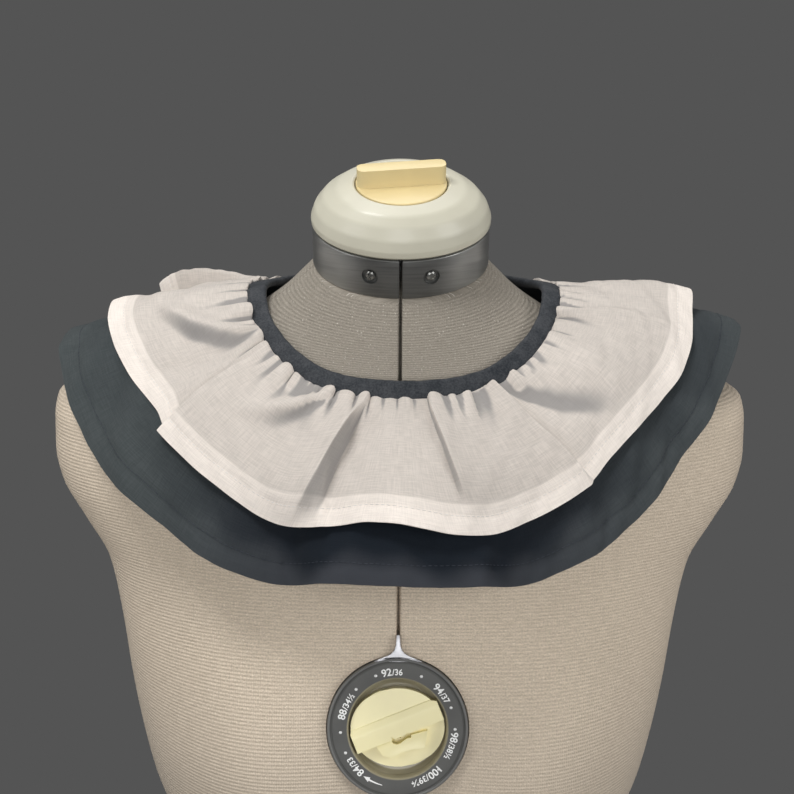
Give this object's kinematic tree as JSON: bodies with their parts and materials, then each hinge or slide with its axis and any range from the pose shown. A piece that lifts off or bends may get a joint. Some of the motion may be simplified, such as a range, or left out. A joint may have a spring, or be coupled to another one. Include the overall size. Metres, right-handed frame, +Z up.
{
  "type": "ruff collar on a dress form",
  "caption": "Ruff collar of gathered white and navy tiers with a bound neckline, worn by a limbless adjustable dress form with a capped neck, a bust dial and a round stand.",
  "frame": {"origin": "the floor, under the middle of the base", "axes": "+Z up, -Y the way the collar and the form face, +X the wearer's left"},
  "size_m": [0.4002, 0.34, 0.792],
  "materials": {
    "white_lawn": "plain weave, matte",
    "navy_cotton": "plain weave, matte",
    "black_satin": "satin weave, slight sheen",
    "button_plastic": "gloss",
    "beige_jersey": "finely ribbed jersey, matte",
    "dark_steel": "satin",
    "pale_plastic": "gloss",
    "cream_plastic": "satin",
    "dark_plastic": "satin",
    "silver_plastic": "satin",
    "black_enamel": "satin"
  },
  "bodies": {
    "root": {"white_ruffle": "white_lawn", "navy_ruffle": "navy_cotton", "neck_binding": "black_satin", "back_button": "button_plastic", "form_front_left": "beige_jersey", "form_front_right": "beige_jersey", "form_back_left": "beige_jersey", "form_back_right": "beige_jersey", "neck_band_left": "dark_steel", "neck_band_right": "dark_steel", "band_screw_left": "dark_steel", "band_screw_right": "dark_steel", "neck_cap": "pale_plastic", "dial_ring": "dark_plastic", "dial_trim": "silver_plastic", "stand_pole": "black_enamel", "stand_base": "black_enamel"},
    "neck_adjuster": {"neck_knob": "cream_plastic"},
    "bust_adjuster": {"dial_knob": "cream_plastic"}
  },
  "joints": [
    {"name": "neck_knob_turn", "type": "hinge", "parent": "root", "child": "neck_adjuster", "pos_m": [0, -0.003, 0.755], "axis": [0, -0.3502, 0.9367], "range_deg": [-90, 90]},
    {"name": "dial_knob_turn", "type": "hinge", "parent": "root", "child": "bust_adjuster", "pos_m": [0, -0.1112, 0.4945], "axis": [0, -0.9659, 0.2588], "range_deg": [-90, 180]}
  ]
}
